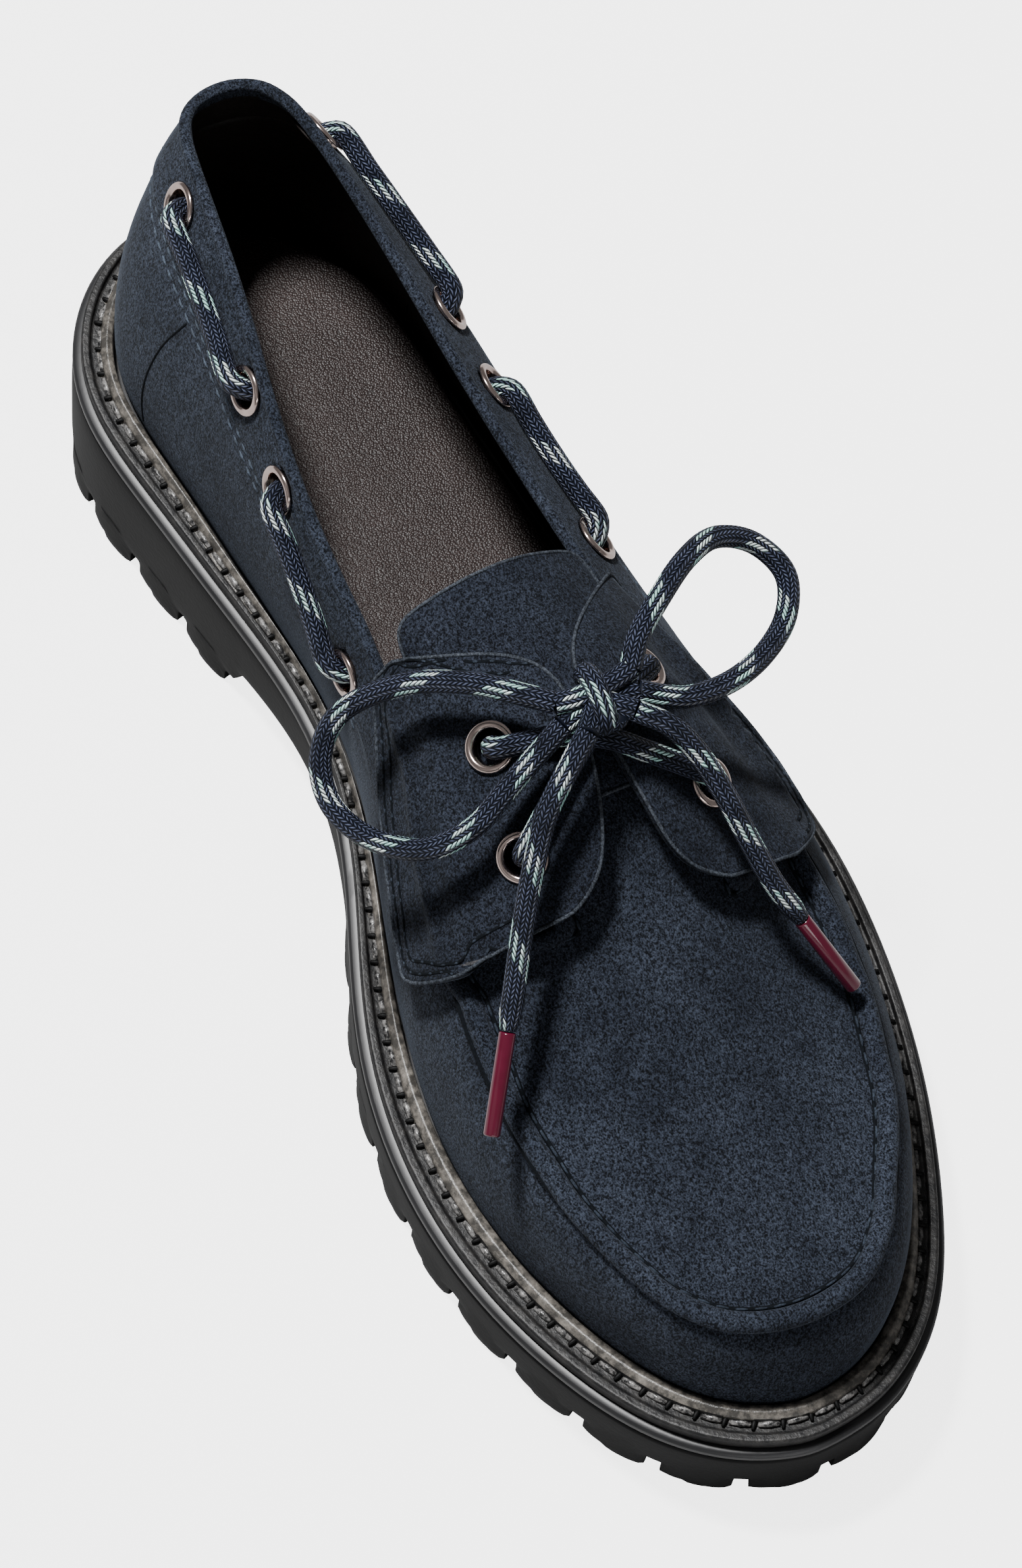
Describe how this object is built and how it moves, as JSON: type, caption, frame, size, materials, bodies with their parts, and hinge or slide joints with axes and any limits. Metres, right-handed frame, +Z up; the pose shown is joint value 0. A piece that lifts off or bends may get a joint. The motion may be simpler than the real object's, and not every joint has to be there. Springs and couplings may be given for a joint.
{
  "type": "left lug-soled boat loafer",
  "caption": "Left low loafer in navy suede with a raised apron seam, laced collar band, eyelet flaps with a bow, storm welt and lugged rubber sole.",
  "frame": {"origin": "on the floor under the middle of the shoe's box, measured without the free bow", "axes": "+X towards the toe, +Y towards the outer (lateral) side of the foot, +Z up"},
  "size_m": [0.2812, 0.1076, 0.1131],
  "materials": {
    "sole_rubber": "matte black",
    "edge_finish": "glossy black edge dressing",
    "welt_leather": "black, rubbed",
    "suede": "napped suede, navy",
    "insole_leather": "pebbled, dark brown",
    "eyelet_metal": "polished, rose-grey nickel",
    "lace": "round braid, navy with pale flecks",
    "lace_tip": "glossy burgundy"
  },
  "bodies": {
    "root": {"aglet_lateral": "lace_tip", "aglet_medial": "lace_tip", "bow_end_lateral": "lace", "bow_end_medial": "lace", "bow_knot": "lace", "bow_loop_lateral": "lace", "bow_loop_medial": "lace", "collar_eyelet_lateral_1": "eyelet_metal", "collar_eyelet_lateral_2": "eyelet_metal", "collar_eyelet_lateral_3": "eyelet_metal", "collar_eyelet_lateral_4": "eyelet_metal", "collar_eyelet_medial_1": "eyelet_metal", "collar_eyelet_medial_2": "eyelet_metal", "collar_eyelet_medial_3": "eyelet_metal", "collar_eyelet_medial_4": "eyelet_metal", "flap_eyelet_lateral_1": "eyelet_metal", "flap_eyelet_lateral_2": "eyelet_metal", "flap_eyelet_medial_1": "eyelet_metal", "flap_eyelet_medial_2": "eyelet_metal", "flap_lateral": "suede", "flap_medial": "suede", "insole": "insole_leather", "lace_crossing": "lace", "midsole": "edge_finish", "outsole": "sole_rubber", "side_lace_lateral_front": "lace", "side_lace_lateral_rear": "lace", "side_lace_medial_front": "lace", "side_lace_medial_rear": "lace", "tongue": "suede", "upper": "suede", "welt": "welt_leather"}
  },
  "joints": []
}
